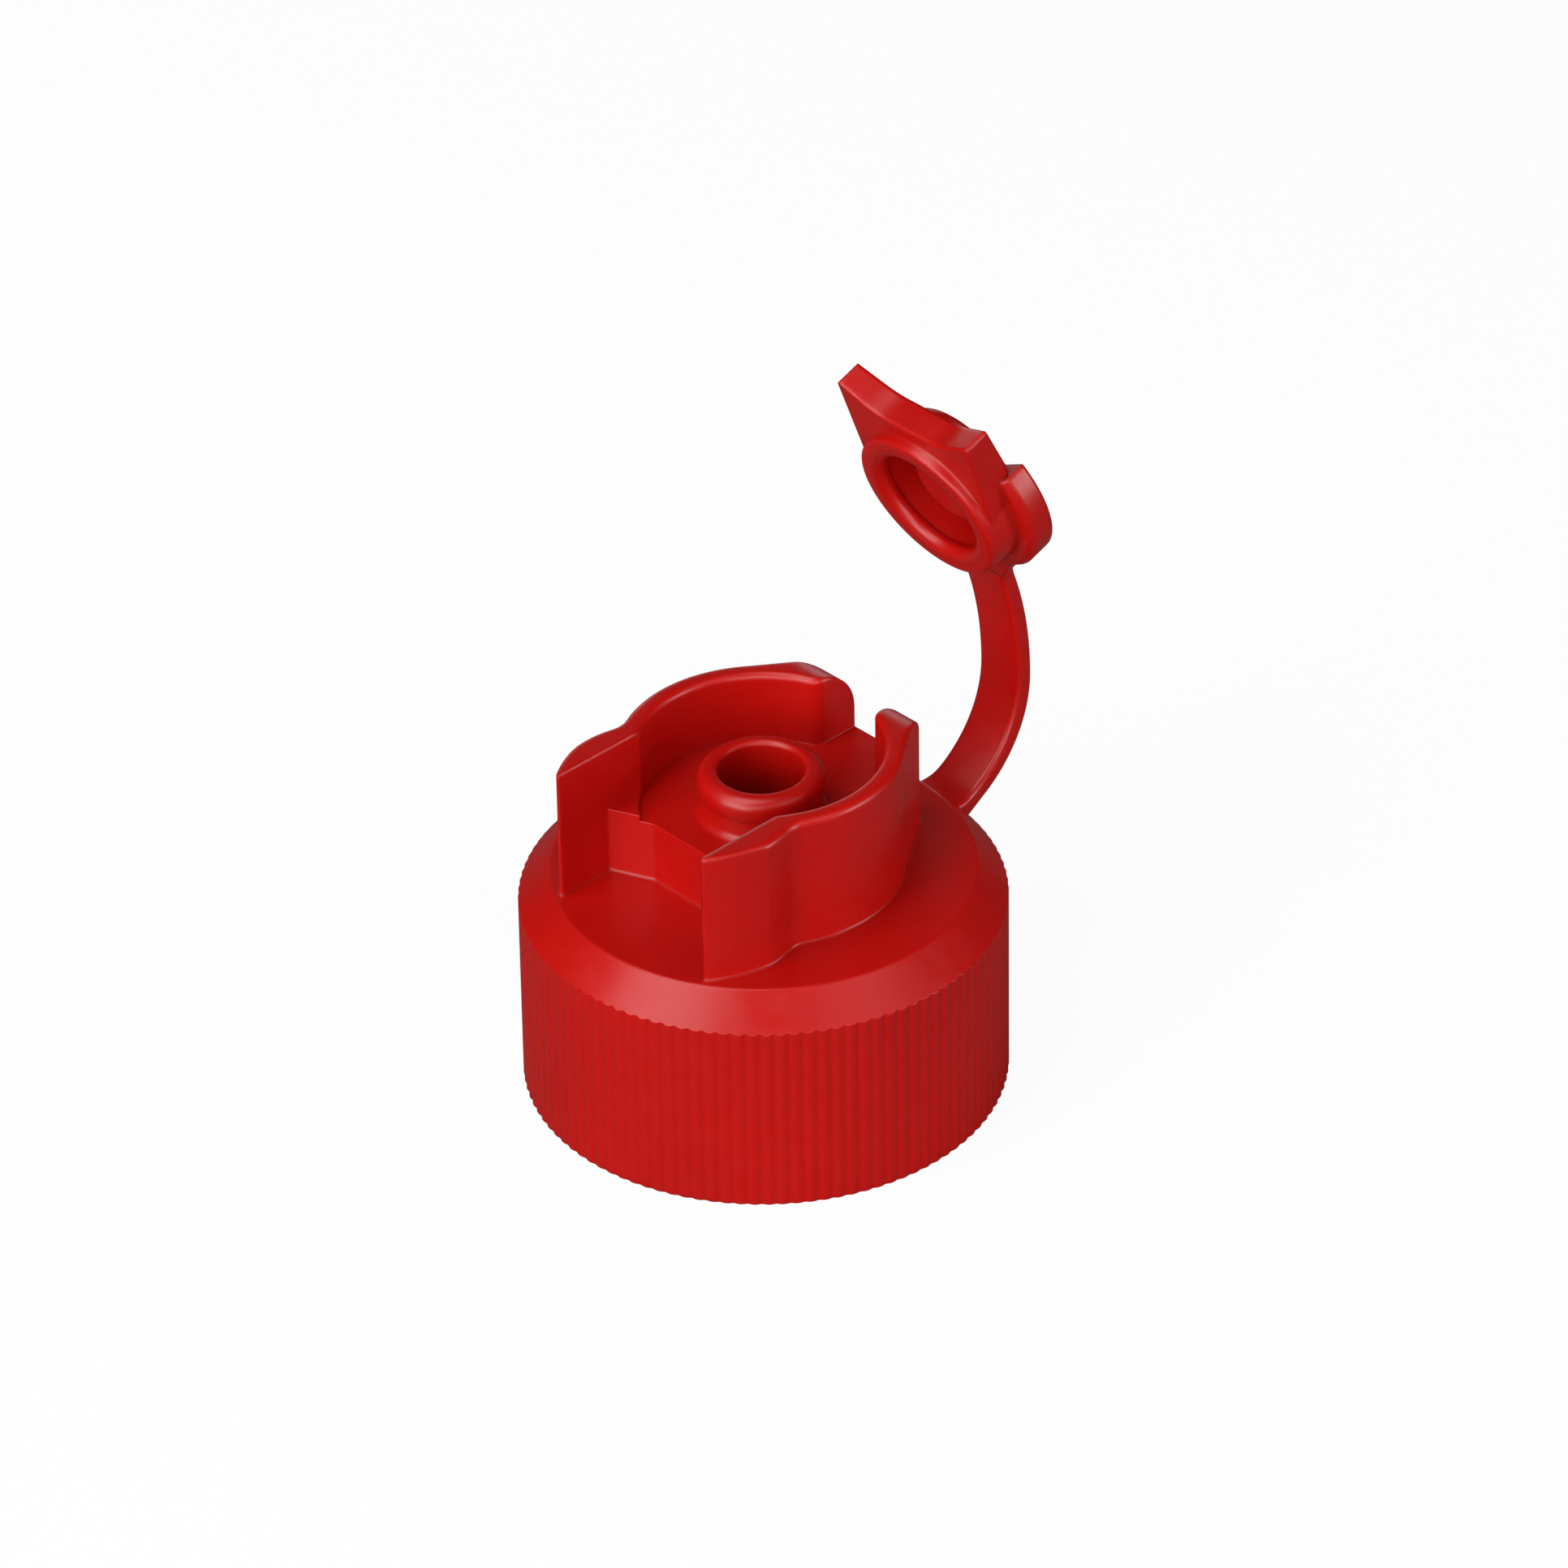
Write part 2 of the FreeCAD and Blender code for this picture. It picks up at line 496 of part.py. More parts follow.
shell_profile = new_sketch(cap, "shell_profile", "XZ_Plane")
outline(shell_profile, (
    ("skirt_bore", 0),
    ("skirt_radius", 0),
    ("skirt_radius", "shoulder_z"),
    ("top_radius", "cap_height"),
    (0, "cap_height"),
    (0, "ceiling_z"),
    ("seal_inner", "ceiling_z"),
    ("seal_tip_inner", "seal_z"),
    ("seal_tip_outer", "seal_z"),
    ("seal_radius", "ceiling_z"),
    ("upper_bore", "ceiling_z"),
    ("upper_bore", "thread_top"),
    ("skirt_bore", "thread_top"),
))
revolve(cap, "Revolution", "shell", shell_profile)

# One rounded rib, repeated round the skirt, with the tops cut to the slope of the shoulder.
rib_section = new_sketch(cap, "rib_section", "XY_Plane")
rib_line = rib_section.addGeometry(Part.Circle(
    FreeCAD.Vector(number("rib_centre"), 0, 0), FreeCAD.Vector(0, 0, 1), number("rib_round")))
bind(rib_section, Sketcher.Constraint("Radius", rib_line, number("rib_round")), "rib_round")
fix_point(rib_section, rib_line, 3, ("rib_centre", 0))
rib = pad(cap, "rib", rib_section, "Places.shoulder_z")
ribs = cap.newObject("PartDesign::PolarPattern", "ribs")
ribs.Originals = [rib]
ribs.Axis = (origin_part(cap, "Z_Axis"), [""])
ribs.Angle = 360
ribs.setExpression("Occurrences", "Sizes.rib_count")
cap.Tip = ribs
doc.recompute()
rib_tops = new_sketch(cap, "rib_tops", "XZ_Plane")
outline(rib_tops, (
    ("skirt_radius", "shoulder_z"),
    ("rib_clear", "rib_end_z"),
    ("rib_clear", "rib_over_z"),
    ("skirt_radius", "rib_over_z"),
))
revolve(cap, "Groove", "rib_slope_cut", rib_tops)

# The seat that the strap grows out of, in line with the ribs' crests.
strap_seat = new_sketch(cap, "strap_seat", "YZ_Plane")
outline(strap_seat, (
    ("seat_inner_y", "seat_low_z"),
    ("seat_outer_y", "seat_low_z"),
    ("seat_outer_y", "seat_high_z"),
    ("seat_inner_y", "seat_high_z"),
))
pad(cap, "strap_seat_pad", strap_seat, "Sizes.strap_width", symmetric=True)

# The platform, as wide as the curb, with a straight front that runs forward at both sides.
platform_plan = new_sketch(cap, "platform_plan", "XY_Plane", "ceiling_z")
outline(platform_plan, (
    ("-platform_flat", "-platform_front"),
    ("platform_flat", "-platform_front"),
    ("platform_side", "-platform_side_front"),
    ("platform_side", "-crease_front"),
    ("crease_half", "-crease_front"),
    ("-crease_half", "-crease_front"),
    ("-platform_side", "-crease_front"),
    ("-platform_side", "-platform_side_front"),
), {4: ("curb_radius", 1, True)})
pad(cap, "platform", platform_plan, "Places.platform_z - Places.ceiling_z")

# One side of the curb: a lobe with a thin tip, a soft crease, the round wall, and a cheek that
# runs straight back from it beside the strap's gap.
curb_plan = new_sketch(cap, "curb_plan", "XY_Plane", "ceiling_z")
outline(curb_plan, (
    ("lobe_inner", "-lobe_reach"),
    ("tip_outer", "-lobe_reach"),
    ("belly_half", "-belly_front"),
    ("lobe_join_side", "-lobe_join_front"),
    ("curb_join_side", "-curb_join_front"),
    ("turn_side", "turn_back"),
    ("cheek_side", "cheek_side_back"),
    ("edge_side", "cheek_back"),
    ("gap_half", "cheek_back"),
    ("gap_half", "gap_inner"),
    ("lobe_inner", "-corner_front"),
), {
    1: ("lobe_front_round", 1),
    2: ("lobe_back_round", 1),
    3: ("crease_round", -1),
    4: ("curb_radius", 1),
    6: ("cheek_edge", 1),
    9: ("chamber_radius", -1),
})
curb = pad(cap, "curb", curb_plan, "Places.curb_z - Places.ceiling_z")
mirror(cap, "other_curb", [curb])

# The round chamber's floor lies a little below the platform.
chamber_plan = new_sketch(cap, "chamber_plan", "XY_Plane", "platform_z")
ring(chamber_plan, "chamber_radius")
pocket(cap, "chamber_floor", chamber_plan, "Sizes.floor_drop")

# Between the two cheeks lies a sill at the height of the chamber's floor.
sill_side = new_sketch(cap, "sill_side", "YZ_Plane")
outline(sill_side, (
    ("sill_start", "ceiling_z"),
    ("cheek_back", "ceiling_z"),
    ("cheek_back", "floor_z"),
    ("sill_start", "floor_z"),
))
pad(cap, "sill", sill_side, "Places.sill_width", symmetric=True)
gap_shape = new_sketch(cap, "gap_shape", "XZ_Plane")
outline(gap_shape, (
    ("-gap_half", "floor_z"),
    ("gap_half", "floor_z"),
    ("gap_half", "curb_clear_z"),
    ("-gap_half", "curb_clear_z"),
))
pocket(cap, "strap_gap", gap_shape, "Places.cheek_clear")

# The chamber's wall turns softly into the gap, and the curb's rim is rounded on both sides.
dress(cap, "Fillet", "gap_turns", "cheek_turn", lambda middle, edge: (
    near(abs(middle.x), "gap_half")
    and near(middle.y, "gap_inner")
    and middle.z > number("floor_z")))
dress(cap, "Fillet", "curb_rim", "curb_edge", lambda middle, edge: (
    near(middle.z, "curb_z")
    and (near(math.hypot(middle.x, middle.y), "curb_radius")
         or near(math.hypot(middle.x, middle.y), "chamber_radius"))))

# The cheeks' upper back corners are well rounded.
cheek_ends = new_sketch(cap, "cheek_ends", "YZ_Plane")
outline(cheek_ends, (
    ("cheek_back", "cheek_round_z"),
    ("cheek_clear", "cheek_round_z"),
    ("cheek_clear", "curb_clear_z"),
    ("cheek_flat", "curb_clear_z"),
    ("cheek_flat", "curb_z"),
), {4: ("cheek_round", -1)})
pocket(cap, "cheek_corners", cheek_ends, "Places.curb_clear_width", symmetric=True)

# The spout stands on the chamber's floor and ends in a rounded bead.
spout_profile = new_sketch(cap, "spout_profile", "XZ_Plane")
outline(spout_profile, (
    ("spout_bore", "spout_sunk_z"),
    ("spout_foot_radius", "spout_sunk_z"),
    ("spout_foot_radius", "floor_z"),
    ("spout_neck", "spout_foot_z"),
    ("spout_neck", "bead_foot_z"),
    ("bead_radius", "bead_low_z"),
    ("bead_radius", "bead_z"),
    ("bead_top_radius", "spout_z"),
    ("bead_inner_radius", "spout_z"),
    ("spout_bore", "bead_inner_z"),
), {
    2: ("spout_foot", -1),
    4: ("bead_under", 1),
    6: ("bead_round", 1),
    8: ("bead_edge", 1),
})
revolve(cap, "Revolution", "spout", spout_profile)

# Under the platform the moulding is hollow, and the spout's bore opens into that hollow.
hollow_plan = new_sketch(cap, "hollow_plan", "XY_Plane", "ceiling_z")
outline(hollow_plan, (
    ("-hollow_half", "-hollow_front"),
    ("hollow_half", "-hollow_front"),
), {1: ("hollow_radius", 1, True)})
pocket(cap, "hollow", hollow_plan, "Places.hollow_depth", upward=True)
bore_plan = new_sketch(cap, "bore_plan", "XY_Plane", "bead_z")
ring(bore_plan, "spout_bore")
pocket(cap, "bore", bore_plan, "Places.bead_z - Places.ceiling_z")

# The lid, modelled shut side down about its own axis, with its datum at the tab's underside.
lid = new_body("lid")
lid.Placement = FreeCAD.Placement(
    FreeCAD.Vector(0, 0, 0), FreeCAD.Rotation(FreeCAD.Vector(1, 0, 0), number("lid_tilt") - 90))
lid.setExpression("Placement.Base.y", "Places.lid_y")
lid.setExpression("Placement.Base.z", "Places.lid_z")
lid.setExpression("Placement.Rotation.Angle", "Sizes.lid_tilt - 90")

# The finger tab, with a hollow end that follows the platform's front, and a sloping top.
tab_plan = new_sketch(lid, "tab_plan", "XY_Plane")
outline(tab_plan, (
    ("-tab_flat", "-tab_front"),
    ("tab_flat", "-tab_front"),
    ("tab_half", "-tab_tip_front"),
    ("boss_radius", 0),
    ("-boss_radius", 0),
    ("-tab_half", "-tab_tip_front"),
))
pad(lid, "tab", tab_plan, "Sizes.tab_root_wall")
dress(lid, "Fillet", "tab_end", "tab_hollow", lambda middle, edge: (
    abs(abs(middle.x) - number("tab_flat")) < 0.02
    and abs(middle.y + number("tab_front")) < 0.02))
tab_slope = new_sketch(lid, "tab_slope", "YZ_Plane")
outline(tab_slope, (
    ("-tab_clear_front", "tab_tip_low"),
    ("-crown_radius", "tab_root_wall"),
    ("-crown_radius", "tab_clear_top"),
    ("-tab_clear_front", "tab_clear_top"),
))
pocket(lid, "tab_top", tab_slope, "Places.tab_clear_width", symmetric=True)
dress(lid, "Fillet", "tab_corners", "tab_edge", lambda middle, edge: (
    abs(abs(middle.x) - number("tab_half")) < 0.02
    and abs(middle.y + number("tab_tip_front")) < 0.02))

# The boss round the socket.
boss_profile = new_sketch(lid, "boss_profile", "XZ_Plane")
outline(boss_profile, (
    (0, "-boss_drop"),
    ("boss_round_radius", "-boss_drop"),
    ("boss_radius", "-boss_round_drop"),
    ("boss_root", "flange_under"),
    ("boss_root", "tab_root_wall"),
    (0, "tab_root_wall"),
), {1: ("boss_edge", 1)})
revolve(lid, "Revolution", "boss", boss_profile)

# The flange round the back, and the crown that closes the front between its two ends.
flange_plan = new_sketch(lid, "flange_plan", "XY_Plane", "flange_under")
outline(flange_plan, (
    ("-crown_x", "-crown_front"),
    ("crown_x", "-crown_front"),
    ("flange_x", "-flange_front"),
    ("-flange_x", "-flange_front"),
), {0: ("crown_radius", 1), 2: ("flange_radius", 1, True)})
pad(lid, "flange", flange_plan, "Places.flange_wall")
dress(lid, "Chamfer", "flange_underside", "flange_bevel", lambda middle, edge: (
    near(middle.z, "flange_under")
    and abs(math.hypot(middle.x, middle.y) - number("flange_radius")) < 0.02))

# The land at the back, which narrows from the flange to the strap's width.
land_plan = new_sketch(lid, "land_plan", "XY_Plane", "land_under")
outline(land_plan, (
    ("-land_root_half", "land_root"),
    ("land_root_half", "land_root"),
    ("land_half", "land_reach"),
    ("-land_half", "land_reach"),
))
pad(lid, "land", land_plan, "Sizes.strap_wall")

# The socket that takes the spout, with a bevelled mouth, and the plug that enters its bore.
socket_profile = new_sketch(lid, "socket_profile", "XZ_Plane")
outline(socket_profile, (
    (0, "-boss_drop"),
    ("socket_mouth", "-boss_drop"),
    ("socket_radius", "-socket_lip_drop"),
    ("socket_radius", "socket_top"),
    ("plug_radius", "socket_top"),
    ("plug_radius", "plug_round_end"),
    ("plug_round_radius", "plug_end"),
    (0, "plug_end"),
), {5: ("plug_edge", -1)})
revolve(lid, "Groove", "socket", socket_profile)

# The strap in two stretches, either side of the line where it flexes most.
strap = new_body("strap")
strap_side = new_sketch(strap, "strap_side", "YZ_Plane")
outline(strap_side, (
    ("root_outer_y", "root_outer_z"),
    ("bulge_outer_y", "bulge_z"),
    ("flex_outer_y", "flex_outer_z"),
    ("flex_inner_y", "flex_inner_z"),
    ("bulge_inner_y", "bulge_z"),
    ("root_inner_y", "root_inner_z"),
), {
    0: ("lower_outer_bend", 1),
    1: ("upper_outer_bend", 1),
    3: ("upper_inner_bend", -1),
    4: ("lower_inner_bend", -1),
}, {2: ("flex_y", "flex_z"), 5: ("root_y", "root_z")})
pad(strap, "strap_band", strap_side, "Sizes.strap_width", symmetric=True)

strap_tail = new_body("strap_tail")
tail_side = new_sketch(strap_tail, "tail_side", "YZ_Plane")
outline(tail_side, (
    ("tail_outer_y", "tail_outer_z"),
    ("join_outer_y", "join_outer_z"),
    ("end_outer_y", "end_outer_z"),
    ("end_inner_y", "end_inner_z"),
    ("join_inner_y", "join_inner_z"),
    ("tail_inner_y", "tail_inner_z"),
), {0: ("upper_outer_bend", 1), 4: ("upper_inner_bend", -1)})
pad(strap_tail, "tail_band", tail_side, "Sizes.strap_width", symmetric=True)

doc.recompute()
for item in doc.Objects:
    if "Invalid" in item.State or "Error" in item.State:
        raise RuntimeError(f"{item.Name} did not compute: {item.State}")
for piece in (cap, strap, strap_tail, lid):
    shape = piece.Shape
    if shape.isNull() or not shape.isValid() or len(shape.Solids) != 1:
        raise RuntimeError(f"{piece.Label} is not one sound solid")
for piece in (cap, strap, strap_tail, lid):
    piece.Shape.exportStep(f"parts/{piece.Label}.step")
    box = piece.Shape.BoundBox
    print(piece.Label, "volume", round(piece.Shape.Volume, 2),
          "from", [round(v, 3) for v in (box.XMin, box.YMin, box.ZMin)],
          "to", [round(v, 3) for v in (box.XMax, box.YMax, box.ZMax)])
for label in ("root_y", "root_z", "flex_y", "flex_z", "lid_y", "lid_z", "shut_z", "ceiling_z",
              "floor_z", "platform_z", "curb_z", "strap_end_y", "strap_end_z", "bulge_y",
              "upper_bend", "socket_radius", "bead_radius", "flange_radius", "chamber_radius"):
    print(label, round(number(label), 4))
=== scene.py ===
# %% [markdown]
# # Dressing a flip top cap
# The real cap is one moulding of red polypropylene: a ribbed screw skirt, a spout inside a
# curb, and a lid that stands open on a bowed strap. The packed model already holds its true
# shape, so this notebook loads it as a fixed frame and adds what a solid model leaves plain:
# the camera and lights of the photo, the look of the plastic, a strap that bends smoothly, the
# lip that snaps over the spout, and the screw thread inside the skirt. Everything is in metres,
# in the frame's own place.

# %% Load the packed model
import json
import math
import bmesh
import bpy
from mathutils import Matrix, Vector


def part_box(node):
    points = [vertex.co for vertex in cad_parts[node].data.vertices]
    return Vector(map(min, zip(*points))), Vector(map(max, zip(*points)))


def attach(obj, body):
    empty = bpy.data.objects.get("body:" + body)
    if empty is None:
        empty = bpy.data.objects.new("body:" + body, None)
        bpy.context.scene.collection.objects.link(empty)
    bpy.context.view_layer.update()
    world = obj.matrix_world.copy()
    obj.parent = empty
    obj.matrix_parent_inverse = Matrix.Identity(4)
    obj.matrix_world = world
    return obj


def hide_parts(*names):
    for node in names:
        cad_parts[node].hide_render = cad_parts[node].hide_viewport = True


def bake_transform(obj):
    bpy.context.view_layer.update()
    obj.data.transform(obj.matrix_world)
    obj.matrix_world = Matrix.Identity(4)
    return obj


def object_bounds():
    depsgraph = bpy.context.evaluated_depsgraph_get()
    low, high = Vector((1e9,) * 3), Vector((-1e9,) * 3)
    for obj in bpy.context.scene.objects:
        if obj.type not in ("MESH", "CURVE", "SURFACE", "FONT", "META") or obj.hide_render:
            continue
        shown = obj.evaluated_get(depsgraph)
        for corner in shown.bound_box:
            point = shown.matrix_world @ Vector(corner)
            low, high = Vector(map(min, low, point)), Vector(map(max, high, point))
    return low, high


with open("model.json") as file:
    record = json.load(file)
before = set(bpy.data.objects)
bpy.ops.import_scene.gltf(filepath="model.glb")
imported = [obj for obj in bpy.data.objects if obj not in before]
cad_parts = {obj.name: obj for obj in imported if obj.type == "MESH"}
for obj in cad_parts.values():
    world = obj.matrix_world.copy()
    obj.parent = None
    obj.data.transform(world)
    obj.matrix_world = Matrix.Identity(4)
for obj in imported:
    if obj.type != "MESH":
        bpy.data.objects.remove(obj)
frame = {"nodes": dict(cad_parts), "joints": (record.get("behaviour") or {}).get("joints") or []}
cad_low, cad_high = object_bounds()
MM = 0.001
QUARTER_TURN = math.radians(90)
print("nodes:", sorted(frame["nodes"]))
print("size in mm:", [round(side / MM, 2) for side in cad_high - cad_low])

# %% [markdown]
# ## The camera
# A product photo is taken from far away with a long lens, so parallel edges stay nearly
# parallel. The place, the angle and the lens below were worked out from round edges in the
# photo: a circle seen at an angle is an ellipse, and its shape gives the angle. Building the
# camera's matrix from three directions keeps the small roll, which aiming alone would lose.

# %% Stand the camera where the photo was taken
CAMERA_AZIMUTH = math.radians(46.39)
CAMERA_ELEVATION = math.radians(34.52)
CAMERA_ROLL = -0.016
CAMERA_DISTANCE = 783.39 * MM
TARGET_ACROSS = 1.73 * MM
TARGET_HEIGHT = 26.09 * MM
PHOTO_WIDTH = 1932
FOCAL_IN_PIXELS = 12568.08
SENSOR_WIDTH = 36
CLIP_NEAR, CLIP_FAR = 0.05, 20


def direction(azimuth, elevation):
    """The way from the object to a place round it; azimuth 0 is the open front, at -Y."""
    flat = math.cos(elevation)
    return Vector((math.sin(azimuth) * flat, -math.cos(azimuth) * flat, math.sin(elevation)))


back = direction(CAMERA_AZIMUTH, CAMERA_ELEVATION)
level_right = Vector((math.cos(CAMERA_AZIMUTH), math.sin(CAMERA_AZIMUTH), 0))
level_up = back.cross(level_right)
right = level_right * math.cos(CAMERA_ROLL) + level_up * math.sin(CAMERA_ROLL)
up = level_up * math.cos(CAMERA_ROLL) - level_right * math.sin(CAMERA_ROLL)
target = level_right * TARGET_ACROSS + Vector((0, 0, TARGET_HEIGHT))

camera_data = bpy.data.cameras.new("camera")
camera_data.sensor_width = SENSOR_WIDTH
camera_data.lens = FOCAL_IN_PIXELS / PHOTO_WIDTH * SENSOR_WIDTH
camera_data.clip_start = CLIP_NEAR
camera_data.clip_end = CLIP_FAR
camera = bpy.data.objects.new("camera", camera_data)
bpy.context.scene.collection.objects.link(camera)
camera.matrix_world = (
    Matrix.Translation(target + back * CAMERA_DISTANCE)
    @ Matrix((right, up, back)).transposed().to_4x4()
)
bpy.context.scene.camera = camera
print("lens in mm:", round(camera_data.lens, 1))

# %% [markdown]
# ## Tools for node materials
# A material is a net of small steps. Wiring each one by hand takes so many lines that they hide
# what the material does. Here one tool adds a node and fills its inputs, and a few named steps
# are built on it. The materials further down then read like recipes.

# %% Build node trees with one tool
NOISE_LOW, NOISE_HIGH = 0.3, 0.7


class NodeTree:
    """A node tree being built. Each named step adds a node and returns its output."""

    def __init__(self, tree):
        self.nodes, self.links = tree.nodes, tree.links
        self.nodes.clear()

    def add(self, kind, inputs, **settings):
        """One node. Each input takes a plain value or the output of another node."""
        node = self.nodes.new(kind)
        for setting, value in settings.items():
            setattr(node, setting, value)
        for name, value in inputs.items():
            if isinstance(value, bpy.types.NodeSocket):
                self.links.new(value, node.inputs[name])
            else:
                node.inputs[name].default_value = value
        return node

    def noise(self, place, cells, detail, roughness=0.5):
        """Noise in the object's own space; cells are counted along a metre."""
        inputs = {"Vector": place, "Scale": cells, "Detail": detail, "Roughness": roughness}
        return self.add("ShaderNodeTexNoise", inputs).outputs["Fac"]

    def spread(self, value, low, high, start=NOISE_LOW, end=NOISE_HIGH):
        """Maps a value between start and end onto low to high."""
        inputs = {"Value": value, "From Min": start, "From Max": end,
                  "To Min": low, "To Max": high}
        return self.add("ShaderNodeMapRange", inputs).outputs["Result"]

    def raised(self, height, depth, normal):
        """A bump of a real depth in metres, laid over an earlier normal if there is one."""
        inputs = {"Height": height, "Distance": depth, "Strength": 1.0}
        if normal is not None:
            inputs["Normal"] = normal
        return self.add("ShaderNodeBump", inputs).outputs["Normal"]

    def arithmetic(self, operation, *values):
        """One step of arithmetic with plain numbers or outputs."""
        node = self.add("ShaderNodeMath", dict(enumerate(values)), operation=operation)
        return node.outputs["Value"]

    def vector(self, operation, *values, output="Vector"):
        """One step of arithmetic with vectors."""
        node = self.add("ShaderNodeVectorMath", dict(enumerate(values)), operation=operation)
        return node.outputs[output]

    def height(self, place):
        """How high a place is."""
        return self.add("ShaderNodeSeparateXYZ", {"Vector": place}).outputs["Z"]

    def mixed(self, share, first, second):
        """Two shaders mixed, with the given share of the second."""
        node = self.add("ShaderNodeMixShader", {"Fac": share, 1: first, 2: second})
        return node.outputs["Shader"]


def new_material(name):
    """A material and its empty node tree."""
    material = bpy.data.materials.new(name)
    material.use_nodes = True
    return material, NodeTree(material.node_tree)


print("steps:", [step for step in vars(NodeTree) if not step.startswith("_")])

# %% [markdown]
# ## Soft edges and a true shoulder
# The solids have sharp edges and slightly flat facets. Rounding each edge in the mesh would add
# many faces, so the shading turns the normal near an edge instead. It does so less at the fine
# ribs, which a wide rounding would blur, and at the chamber's floor, where it made bright lines.
# The sloping shoulder mirrors a lamp, and its long facets showed as strips there. Its shape is a
# plain cone, so the material works out the cone's own normal.

# %% A normal for the solids
RIB_EDGE_ROUND = 0.06 * MM
EDGE_ROUND = 0.5 * MM
ROUNDING_SAMPLES = 8
CHAMBER_FLOOR = 23.9 * MM
FLOOR_NEAR, FLOOR_FAR = 0.5 * MM, 1.5 * MM
NEAR_FLOOR_SHARE = 0.2
SHOULDER_LOW = 16.1 * MM
SHOULDER_TOP = 18.6 * MM
SHOULDER_RADIUS = 16.6 * MM
SHOULDER_RUN = 2.3 * MM
SLOPE_ROOM = 0.15 * MM


def edge_normal(tree, place):
    """A normal that rounds sharp edges, but barely at the ribs and the chamber's floor."""
    height = tree.height(place)
    off_floor = tree.arithmetic("ABSOLUTE", tree.arithmetic("SUBTRACT", height, CHAMBER_FLOOR))
    radius = tree.arithmetic(
        "MULTIPLY",
        tree.spread(height, RIB_EDGE_ROUND, EDGE_ROUND, SHOULDER_LOW, SHOULDER_TOP),
        tree.spread(off_floor, NEAR_FLOOR_SHARE, 1.0, FLOOR_NEAR, FLOOR_FAR))
    bevel = tree.add("ShaderNodeBevel", {"Radius": radius}, samples=ROUNDING_SAMPLES)
    return bevel.outputs["Normal"]


def shoulder_normal(tree, place, normal):
    """The true cone's normal on the sloping shoulder, and the earlier normal elsewhere."""
    drop = SHOULDER_TOP - SHOULDER_LOW
    slant = math.hypot(drop, SHOULDER_RUN)
    flat = tree.vector("MULTIPLY", place, (1, 1, 0))
    outward = tree.vector("NORMALIZE", flat)
    leaning = tree.vector("MULTIPLY", outward, (drop / slant,) * 3)
    cone = tree.vector("ADD", leaning, (0, 0, SHOULDER_RUN / slant))
    height = tree.height(place)
    reach = tree.vector("LENGTH", flat, output="Value")
    above = tree.spread(height, 0, 1, SHOULDER_LOW, SHOULDER_LOW + SLOPE_ROOM)
    below = tree.spread(height, 0, 1, SHOULDER_TOP, SHOULDER_TOP - SLOPE_ROOM)
    outside = tree.spread(reach, 0, 1, SHOULDER_RADIUS, SHOULDER_RADIUS + SLOPE_ROOM / 4)
    between = tree.arithmetic("MULTIPLY", above, below)
    on_slope = tree.arithmetic("MULTIPLY", between, outside)
    chosen = tree.add("ShaderNodeMix", {"Factor": on_slope, "A": normal, "B": cone},
                      data_type="VECTOR")
    return chosen.outputs["Result"]


print("edges rounded by", EDGE_ROUND / MM, "mm, ribs by", RIB_EDGE_ROUND / MM, "mm")

# %% [markdown]
# ## The red plastic
# Moulded polypropylene is coloured all through, so the colour barely changes over the surface.
# What makes it look moulded is in the gloss: a mould that was blasted with fine grit leaves a
# satin grain, the melt leaves faint flow marks, and no edge is perfectly sharp. A painted
# texture would need an unwrapped mesh. Noise in the object's own space needs none, and it runs
# on from one piece to the next without a seam. A little light also goes into the plastic and
# comes out redder close by, which fills the shadows between the ribs.

# %% The plastic itself
RED = (0.48, 0.0032, 0.0014, 1)
DEEP_RED = (0.43, 0.0027, 0.0011, 1)
FLOW_CELLS, FLOW_DETAIL = 90, 3.0
WAVE_CELLS, WAVE_DETAIL, WAVE_DEPTH = 260, 1.0, 0.02 * MM
GRAIN_CELLS, GRAIN_DETAIL, GRAIN_DEPTH = 9000, 2.0, 0.0016 * MM
PATCH_CELLS, PATCH_DETAIL, PATCH_ROUGHNESS = 520, 4.0, 0.6
SATIN_LOW, SATIN_HIGH = 0.29, 0.37
PLASTIC_IOR = 1.49
GLOW_SHARE = 0.4
GLOW_SPREAD = (1.0, 0.12, 0.08)
GLOW_DEPTH = 1.0 * MM


def red_plastic(name, soft_edges):
    """The cap's plastic. Soft edges are for the solids, whose edges are sharp."""
    material, tree = new_material(name)
    place = tree.add("ShaderNodeTexCoord", {}).outputs["Object"]
    flow = tree.spread(tree.noise(place, FLOW_CELLS, FLOW_DETAIL), 0.0, 1.0)
    colour = tree.add("ShaderNodeMix", {"Factor": flow, "A": DEEP_RED, "B": RED},
                      data_type="RGBA")
    patches = tree.noise(place, PATCH_CELLS, PATCH_DETAIL, PATCH_ROUGHNESS)
    normal = None
    if soft_edges:
        normal = shoulder_normal(tree, place, edge_normal(tree, place))
    normal = tree.raised(tree.noise(place, WAVE_CELLS, WAVE_DETAIL), WAVE_DEPTH, normal)
    normal = tree.raised(tree.noise(place, GRAIN_CELLS, GRAIN_DETAIL), GRAIN_DEPTH, normal)
    shader = tree.add("ShaderNodeBsdfPrincipled", {
        "Base Color": colour.outputs["Result"],
        "Roughness": tree.spread(patches, SATIN_LOW, SATIN_HIGH),
        "Normal": normal,
        "IOR": PLASTIC_IOR,
        "Subsurface Weight": GLOW_SHARE,
        "Subsurface Radius": GLOW_SPREAD,
        "Subsurface Scale": GLOW_DEPTH,
    })
    tree.add("ShaderNodeOutputMaterial", {"Surface": shader.outputs["BSDF"]})
    return material


solid_plastic = red_plastic("red_plastic_solid", True)
band_plastic = red_plastic("red_plastic_band", False)
print("materials:", solid_plastic.name, band_plastic.name)

